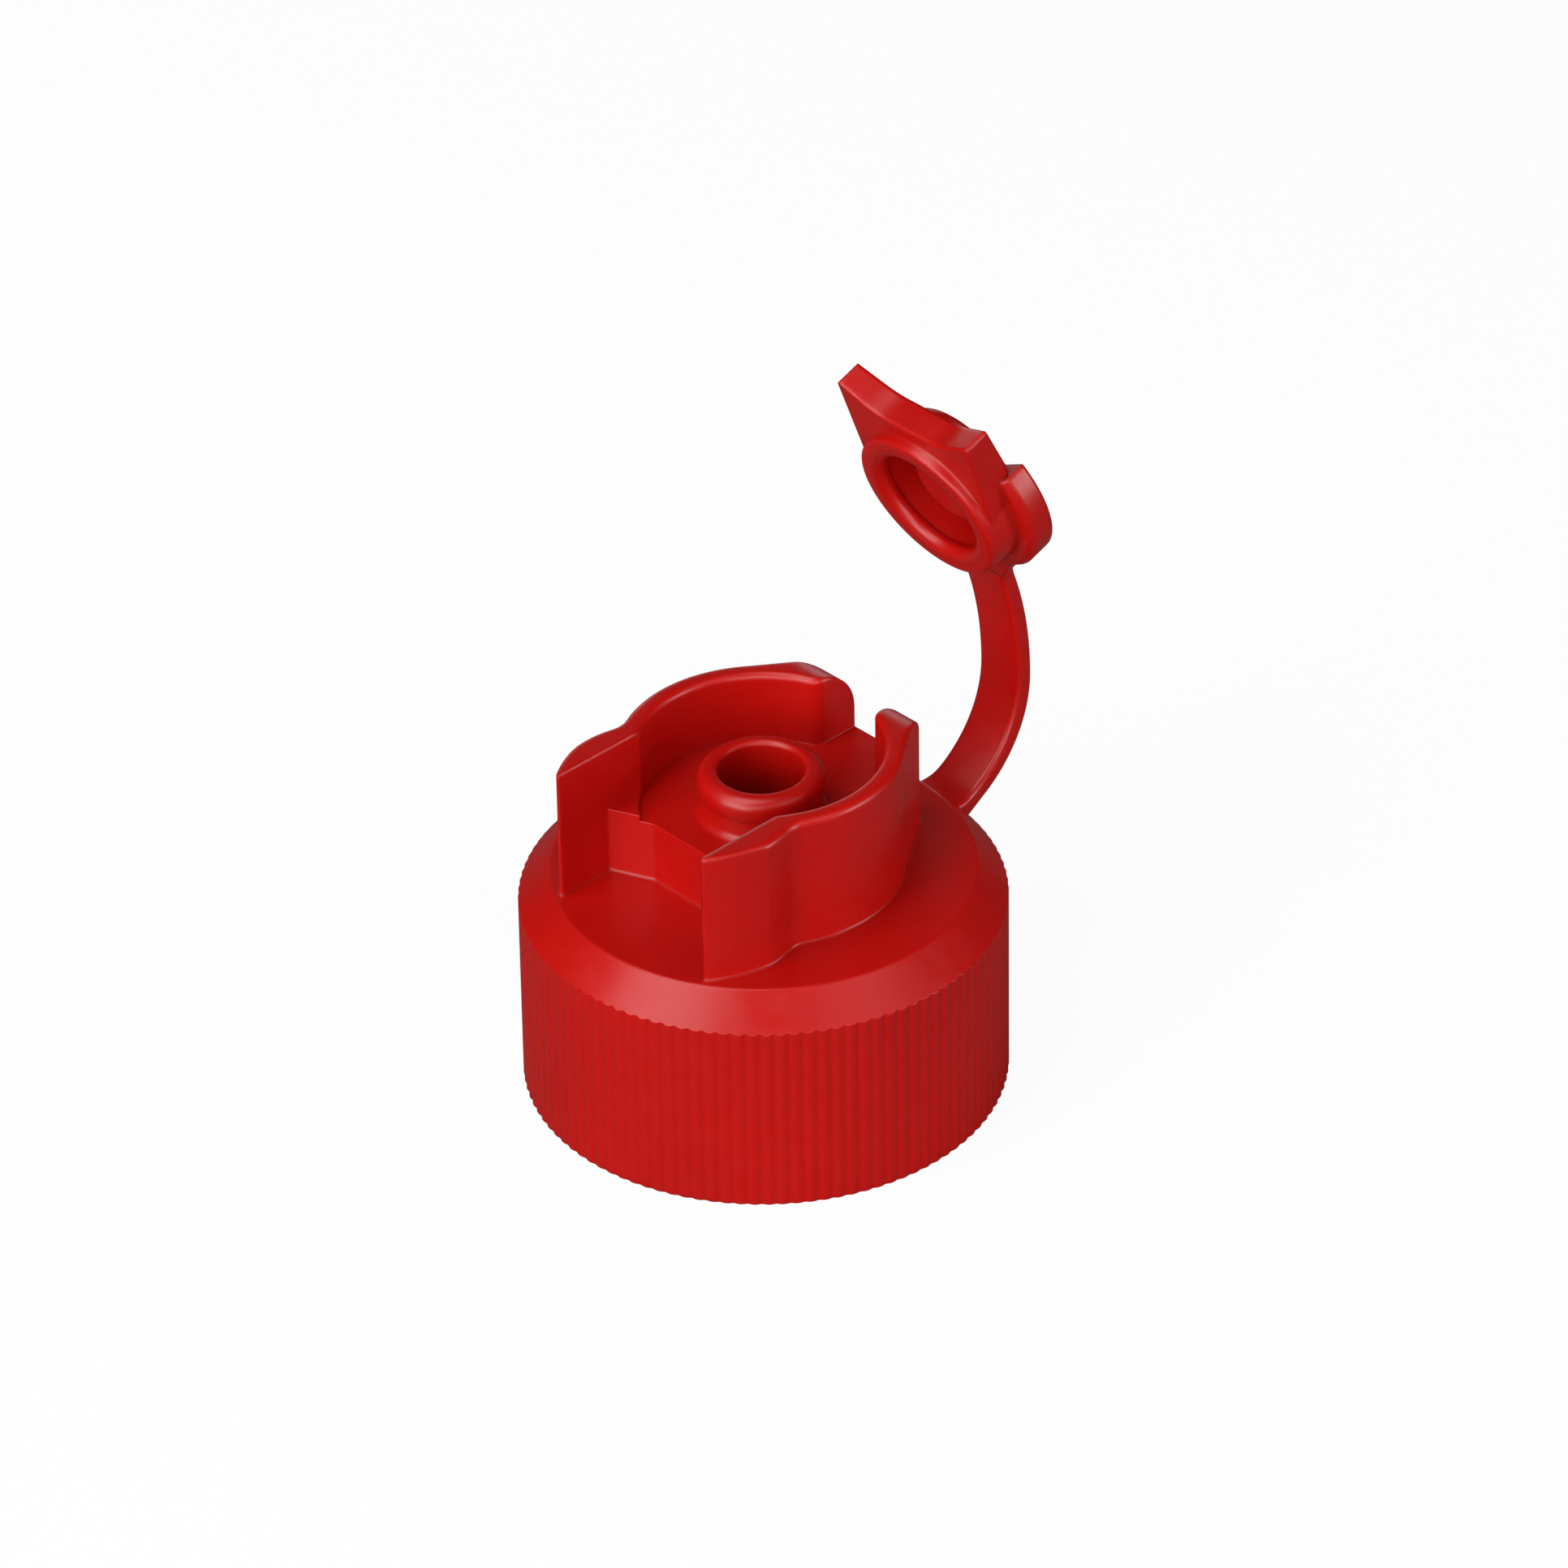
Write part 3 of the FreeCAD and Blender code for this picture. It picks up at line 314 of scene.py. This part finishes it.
# %% [markdown]
# ## The cap and the lid
# These two keep their solid shapes, because nothing on them is soft. A packed solid comes with
# one plain material in its slot, so giving it the plastic is one assignment to that slot.

# %% Give the cap and the lid their plastic
for node_name in ("cap", "lid"):
    solid = frame["nodes"][node_name]
    for slot in solid.material_slots:
        slot.material = solid_plastic
    print(node_name, len(solid.data.polygons), "faces, slots:", len(solid.material_slots))

# %% [markdown]
# ## The line of the strap
# The strap leaves the skirt, bows out on a tight bend, and comes back on a wide one to the lid.
# Seen from the side it is two arcs that meet at the furthest place, then a short straight. A
# rule for the place along that line is better here than a drawn curve, because it gives the
# outward direction and the length too. The hinge places and the lid's tilt come from the packed
# record. The lower bend, its height and the land's reach are the part's own sizes, written again
# here, and the last print shows how closely the line meets the land.

# %% Work out the strap's middle line
joints = {joint["name"]: joint for joint in frame["joints"]}
ROOT = Vector(joints["strap_root"]["pos_m"])
FLEX = Vector(joints["lid_flip"]["pos_m"])
LID_PLACE = Vector(joints["lid_press"]["pos_m"])
PRESS_WAY = Vector(joints["lid_press"]["axis"])
LID_TILT = math.atan2(-PRESS_WAY.z, -PRESS_WAY.y)
STRAP_WALL = 1.5 * MM
STRAP_WIDTH = 4.4 * MM
BULGE_HEIGHT = 24.4 * MM
LOWER_BEND = 9.9 * MM
LAND_REACH = 9.4 * MM
STRAP_LEVEL = 2.6 * MM

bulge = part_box("strap")[1].y - STRAP_WALL / 2
lower_centre = bulge - LOWER_BEND
root_angle = math.atan2(ROOT.z - BULGE_HEIGHT, ROOT.y - lower_centre)
flex_rise = FLEX.z - BULGE_HEIGHT
flex_inset = bulge - FLEX.y
UPPER_BEND = (flex_rise ** 2 + flex_inset ** 2) / (2 * flex_inset)
upper_centre = bulge - UPPER_BEND
LOWER_LENGTH = -root_angle * LOWER_BEND
UPPER_LENGTH = LID_TILT * UPPER_BEND
along_lid = Vector((0, math.sin(LID_TILT), -math.cos(LID_TILT)))
land_end = LID_PLACE + along_lid * LAND_REACH - PRESS_WAY * STRAP_LEVEL
bend_end = Vector((0, upper_centre + UPPER_BEND * math.cos(LID_TILT),
                   BULGE_HEIGHT + UPPER_BEND * math.sin(LID_TILT)))
STRAP_LENGTH = LOWER_LENGTH + UPPER_LENGTH + (land_end - bend_end).length
FLEX_LENGTH = LOWER_LENGTH + math.atan2(flex_rise, FLEX.y - upper_centre) * UPPER_BEND


def strap_line(along):
    """The strap's middle line: its place and its outward direction at a length from the root."""
    if along <= LOWER_LENGTH:
        angle = root_angle + along / LOWER_BEND
        centre, bend = lower_centre, LOWER_BEND
    else:
        angle = min((along - LOWER_LENGTH) / UPPER_BEND, LID_TILT)
        centre, bend = upper_centre, UPPER_BEND
    outward = Vector((0, math.cos(angle), math.sin(angle)))
    place = Vector((0, centre, BULGE_HEIGHT)) + outward * bend
    past = along - LOWER_LENGTH - UPPER_LENGTH
    if past > 0:
        place = place - along_lid * past
    return place, outward


print("strap length in mm:", round(STRAP_LENGTH / MM, 2),
      "upper bend:", round(UPPER_BEND / MM, 2),
      "misses the land by", round((strap_line(STRAP_LENGTH)[0] - land_end).length / MM, 4))

# %% [markdown]
# ## Meshes from rings
# The strap, the lip and the thread are all one outline carried along a line, so all three are
# written as rings of points. Joining each ring to the next gives clean quads, in one short
# function for the three of them. A line that runs round has no ends. The others get two caps.

# %% Join rings of points into a piece
SHARP_ANGLE = math.radians(40)


def ring_faces(steps, size, closed=False):
    """Quads from each ring of points to the next, and a cap at each end of an open line."""
    rings = steps if closed else steps + 1
    faces = []
    for step in range(steps):
        low, high = step * size, (step + 1) % rings * size
        for side in range(size):
            after = (side + 1) % size
            faces.append((low + side, low + after, high + after, high + side))
    if not closed:
        faces.append(tuple(reversed(range(size))))
        faces.append(tuple(range(steps * size, rings * size)))
    return faces


def mesh_piece(name, points, faces):
    """A smooth mesh object in the band's plastic, with sharp edges kept sharp."""
    mesh = bpy.data.meshes.new(name)
    mesh.from_pydata(points, [], faces)
    mesh.validate()
    shape = bmesh.new()
    shape.from_mesh(mesh)
    bmesh.ops.recalc_face_normals(shape, faces=shape.faces)
    shape.to_mesh(mesh)
    shape.free()
    mesh.polygons.foreach_set("use_smooth", [True] * len(mesh.polygons))
    mesh.set_sharp_from_angle(angle=SHARP_ANGLE)
    mesh.materials.append(band_plastic)
    piece = bpy.data.objects.new(name, mesh)
    bpy.context.scene.collection.objects.link(piece)
    return piece


print("faces of three rings of four points:", len(ring_faces(2, 4)))

# %% [markdown]
# ## The strap as a bending band
# The real strap is a flat band with rounded edges that grows a little wider where it runs into
# the skirt and into the lid. At the root it also thickens a little inwards, as the soft fillet
# between a strap and its skirt does. A width that follows the length is easy to write as a rule:
# a short square law at the skirt, and at the lid a cubic that ends with the land's own slope.

# %% A band swept along the strap's line
EDGE_CORNER = 0.4 * MM
CORNER_STEPS = 5
RING_STEP = 0.3 * MM
FEWEST_RINGS = 8
ROOT_SUNK = 1.3 * MM
ROOT_FLARE = 0.2 * MM
ROOT_FLARE_LENGTH = 2.2 * MM
ROOT_FILLET = 0.6 * MM
ROOT_FILLET_LENGTH = 1.8 * MM
LAND_HALF = 2.6 * MM
LAND_SLOPE = 0.69
LAND_FLARE_LENGTH = 1.9 * MM


def half_width(along):
    """Half of the band's width, which flares at the skirt and where the lid's land begins."""
    half = STRAP_WIDTH / 2
    near_root = 1 - along / ROOT_FLARE_LENGTH
    if near_root > 0:
        half += ROOT_FLARE * min(near_root, 1) ** 2
    left = (STRAP_LENGTH - along) / LAND_FLARE_LENGTH
    if left < 1:
        extra = LAND_HALF - STRAP_WIDTH / 2
        start, slope = 2 * left ** 3 - 3 * left ** 2 + 1, left ** 3 - 2 * left ** 2 + left
        half += extra * start - LAND_SLOPE * LAND_FLARE_LENGTH * slope
    return half


def band_section(half, half_wall, corner):
    """A flat section with rounded corners, as (across, outward) pairs, anticlockwise."""
    points = []
    for side, (sign_across, sign_out) in enumerate(((1, 1), (-1, 1), (-1, -1), (1, -1))):
        for step in range(CORNER_STEPS + 1):
            angle = QUARTER_TURN * (side + step / CORNER_STEPS)
            points.append((sign_across * (half - corner) + corner * math.cos(angle),
                           sign_out * (half_wall - corner) + corner * math.sin(angle)))
    return points


def strap_band(name, first, last):
    """The band between two lengths along the strap's line."""
    steps = max(FEWEST_RINGS, round((last - first) / RING_STEP))
    points = []
    for step in range(steps + 1):
        along = first + (last - first) * step / steps
        place, outward = strap_line(along)
        past_sunk = max(0, ROOT_FILLET_LENGTH - along) / (ROOT_FILLET_LENGTH + ROOT_SUNK)
        fillet = ROOT_FILLET * past_sunk ** 2
        place = place - outward * fillet / 2
        section = band_section(half_width(along), (STRAP_WALL + fillet) / 2, EDGE_CORNER)
        points += [place + Vector((across, 0, 0)) + outward * out for across, out in section]
    return mesh_piece(name, points, ring_faces(steps, len(section)))


print("width in mm at the root and at the land:",
      [round(2 * half_width(along) / MM, 2) for along in (0, STRAP_LENGTH)])

# %% [markdown]
# ## Three lengths that meet end to end
# The real strap bends all along its length when the lid is shut, but the solids can only turn at
# two places. The band is made here as three lengths: root to middle, middle to 2 mm short of the
# upper flexing line, and on to the lid, where it is pressed down.

# %% Three lengths of band
MIDDLE_CUT = 10.4 * MM
TAIL_CUT = FLEX_LENGTH - 2.0 * MM

strap_lower = strap_band("strap_lower", -ROOT_SUNK, MIDDLE_CUT)
strap_upper = strap_band("strap_upper", MIDDLE_CUT, TAIL_CUT)
strap_end = strap_band("strap_end", TAIL_CUT, STRAP_LENGTH)

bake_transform(strap_lower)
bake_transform(strap_upper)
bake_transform(strap_end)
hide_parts("strap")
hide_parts("strap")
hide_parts("strap_tail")
for band in (strap_lower, strap_upper, strap_end):
    print(band.name, len(band.data.polygons), "faces")

# %% [markdown]
# ## The lip that snaps over the spout
# The lid is held shut by a soft lip at the socket's mouth. It is a little narrower than the
# spout's bead and stretches over it with a click. In the photo it is the broad rounded edge
# round the dark hole. The solids leave it out, because rigid shapes can't stretch past each
# other. A ring is a turned shape, so a short profile is turned about the socket's axis here and
# then laid in the lid's own place, which the pressing joint in the record gives.

# %% Turn the lip and lay it in the lid
LIP_TURN_STEPS = 120
LIP_CURVE_STEPS = 8
LIP_MOUTH = 5.8 * MM
LIP_INNER = 4.78 * MM
LIP_WALL = 5.3 * MM
LIP_FACE = -0.92 * MM
LIP_FRONT_DEPTH = 0.8 * MM
LIP_BACK_DEPTH = 0.6 * MM
LIP_CORNER = 0.2 * MM


def turned_piece(name, profile, steps, place):
    """A closed profile of (radius, level) pairs, turned about an axis and laid at a place."""
    points = []
    for step in range(steps):
        angle = 2 * math.pi * step / steps
        points += [place @ Vector((radius * math.cos(angle), radius * math.sin(angle), level))
                   for radius, level in profile]
    return mesh_piece(name, points, ring_faces(steps, len(profile), closed=True))


lid_axis = -PRESS_WAY
lid_across = Vector((1, 0, 0))
lid_frame = Matrix.Translation(LID_PLACE) @ Matrix(
    (lid_across, lid_axis.cross(lid_across), lid_axis)).transposed().to_4x4()
quarter = [QUARTER_TURN * step / LIP_CURVE_STEPS for step in range(LIP_CURVE_STEPS + 1)]
lip_middle = LIP_FACE + LIP_FRONT_DEPTH
lip_profile = [(LIP_MOUTH - (LIP_MOUTH - LIP_INNER) * math.sin(turn),
                lip_middle - LIP_FRONT_DEPTH * math.cos(turn)) for turn in quarter]
lip_profile += [(LIP_WALL - (LIP_WALL - LIP_INNER) * math.cos(turn),
                 lip_middle + LIP_BACK_DEPTH * math.sin(turn)) for turn in quarter[1:]]
lip_profile.append((LIP_MOUTH - LIP_CORNER, lip_middle))
lip_profile.append((LIP_MOUTH, LIP_FACE + LIP_CORNER))
socket_lip = turned_piece("socket_lip", lip_profile, LIP_TURN_STEPS, lid_frame)
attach(socket_lip, "lid")
print("socket lip:", len(socket_lip.data.polygons), "faces, narrowest radius in mm:",
      round(min(radius for radius, level in lip_profile) / MM, 2))

# %% [markdown]
# ## The thread inside the skirt
# The cap screws onto a bottle's neck, so a rounded ridge winds up the inside of the skirt. It is
# hidden in the photo but plain to see from below. A helix is a rule, so its points come from a
# loop: one ring of the ridge's section at each small turn. The ridge grows out of the wall at
# one end and sinks back into it at the other, as a real thread does.

# %% Wind the thread
THREAD_WALL = 16.6 * MM
THREAD_HEIGHT = 0.95 * MM
THREAD_SUNK = 0.08 * MM
THREAD_FOOT = 0.95 * MM
THREAD_CREST = 0.38 * MM
CREST_FLAT_SHARE = 0.55
CORNER_DROP, CORNER_DROP_SHARE = 0.28 * MM, 0.3
CORNER_OUT = 0.16 * MM
THREAD_PITCH = 3.6 * MM
THREAD_START = 1.9 * MM
THREAD_TURNS = 2.35
TURN_STEPS = 120
FADE_TURNS = 0.09
FADE_START = 0.03


def ridge_section(height):
    """The ridge's outline as (radius, rise) pairs, with a rounded crest of the given height."""
    foot = THREAD_WALL + THREAD_SUNK
    crest = THREAD_WALL - height
    corner = crest + min(CORNER_DROP, height * CORNER_DROP_SHARE)
    return [
        (foot, -THREAD_FOOT),
        (THREAD_WALL, -THREAD_FOOT),
        (corner, -THREAD_CREST - CORNER_OUT),
        (crest, -THREAD_CREST * CREST_FLAT_SHARE),
        (crest, THREAD_CREST * CREST_FLAT_SHARE),
        (corner, THREAD_CREST + CORNER_OUT),
        (THREAD_WALL, THREAD_FOOT),
        (foot, THREAD_FOOT),
    ]


thread_points = []
thread_steps = round(THREAD_TURNS * TURN_STEPS)
for step in range(thread_steps + 1):
    turns = THREAD_TURNS * step / thread_steps
    fade = min(1.0, turns / FADE_TURNS, (THREAD_TURNS - turns) / FADE_TURNS)
    height = THREAD_HEIGHT * (FADE_START + (1 - FADE_START) * math.sin(fade * QUARTER_TURN))
    angle = turns * 2 * math.pi
    section = ridge_section(height)
    thread_points += [(radius * math.cos(angle), radius * math.sin(angle),
                       THREAD_START + turns * THREAD_PITCH + rise) for radius, rise in section]
thread = mesh_piece("thread", thread_points, ring_faces(thread_steps, len(section)))
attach(thread, "cap")
print("thread:", len(thread.data.polygons), "faces, up to",
      round(max(point[2] for point in thread_points) / MM, 2), "mm")

# %% [markdown]
# ## The floor
# The photo's background is plain white. The floor is a pale sheet that takes a soft shadow. To
# the camera it is mostly lit from within, so it stays white without more light on the object.
# To everything else it is a plain grey sheet, so that it doesn't wash the red out.

# %% Lay the floor
FLOOR_SIZE = 6.0
FLOOR_GLOW = 0.94
FLOOR_SHADE = (0.12, 0.12, 0.12, 1)
SEEN_SHADE = (0.95, 0.95, 0.95, 1)


def seen_by_camera(tree):
    """1 for rays that come from the camera, straight or through something clear."""
    rays = tree.add("ShaderNodeLightPath", {}).outputs
    return tree.arithmetic("MAXIMUM", rays["Is Camera Ray"], rays["Is Transmission Ray"])


floor_paper, paper = new_material("floor_paper")
plain = paper.add("ShaderNodeBsdfDiffuse", {"Color": FLOOR_SHADE}).outputs["BSDF"]
pale = paper.add("ShaderNodeBsdfDiffuse", {"Color": SEEN_SHADE}).outputs["BSDF"]
glow = paper.add("ShaderNodeEmission", {}).outputs["Emission"]
paper_shader = paper.mixed(seen_by_camera(paper), plain, paper.mixed(FLOOR_GLOW, pale, glow))
paper.add("ShaderNodeOutputMaterial", {"Surface": paper_shader})

bpy.ops.mesh.primitive_grid_add(x_subdivisions=2, y_subdivisions=2, size=FLOOR_SIZE)
floor = bpy.context.active_object
floor.name = "floor"
floor.data.materials.append(floor_paper)
print("floor in metres:", FLOOR_SIZE)

# %% [markdown]
# ## The background
# Beyond the floor the camera sees plain white too. A white world would light the object from all
# sides and flatten it, so only the camera's rays meet the white. All others meet a faint grey.

# %% Whiten the background
STUDIO_LEVEL = 0.03
WHITE = (1, 1, 1, 1)

world = bpy.data.worlds.new("studio")
world.use_nodes = True
bpy.context.scene.world = world
air = NodeTree(world.node_tree)
around = air.add("ShaderNodeBackground", {"Color": WHITE, "Strength": STUDIO_LEVEL})
behind = air.add("ShaderNodeBackground", {"Color": WHITE})
air_shader = air.mixed(seen_by_camera(air), around.outputs["Background"],
                       behind.outputs["Background"])
air.add("ShaderNodeOutputWorld", {"Surface": air_shader})
print("studio level:", STUDIO_LEVEL)

# %% [markdown]
# ## The lights
# The sloping shoulder shows where the main light hangs: its broad pale sheen is the mirror of a
# large soft lamp at the left of the camera, and a weaker one at the right has a lamp of its own.
# The skirt and the lid's underside are bright too, though they mirror nothing, so two lamps stand
# low in front. One at the side lights the walls at the right, one overhead lights the flat top,
# and a weak one behind keeps the back from going black. Large lamps close by make soft edges.
# Their powers were found by rendering each lamp alone and weighing the renders against the photo.

# %% Hang seven soft lamps
# Name, azimuth and elevation in degrees, distance and side in metres, power in watts.
LAMPS = (
    ("left_lamp", -8, 43, 0.8, 0.5, 2.4),
    ("right_lamp", 98, 42, 0.8, 0.45, 0.6),
    ("front_lamp", 2, 6, 0.9, 0.7, 7.2),
    ("middle_lamp", 50, 12, 0.9, 0.7, 5.0),
    ("side_lamp", 119, 3, 0.8, 0.36, 3.4),
    ("top_lamp", -20, 74, 0.8, 0.4, 2.0),
    ("back_lamp", 228, -4, 0.9, 0.6, 1.4),
)


def soft_lamp(name, azimuth, elevation, distance, side, power):
    """A square lamp that looks at the middle of the cap from a place round it."""
    lamp_data = bpy.data.lights.new(name, "AREA")
    lamp_data.size = side
    lamp_data.energy = power
    lamp = bpy.data.objects.new(name, lamp_data)
    bpy.context.scene.collection.objects.link(lamp)
    way = direction(math.radians(azimuth), math.radians(elevation))
    lamp.location = (cad_low + cad_high) / 2 + way * distance
    lamp.rotation_mode = "QUATERNION"
    lamp.rotation_quaternion = way.to_track_quat("Z", "Y")


for choice in LAMPS:
    soft_lamp(*choice)
print("lamps:", [choice[0] for choice in LAMPS])

# %% [markdown]
# ## Colours as written
# The Standard view keeps a colour on the screen as it is written in a material.

# %% Finish
bpy.context.scene.view_settings.view_transform = "Standard"
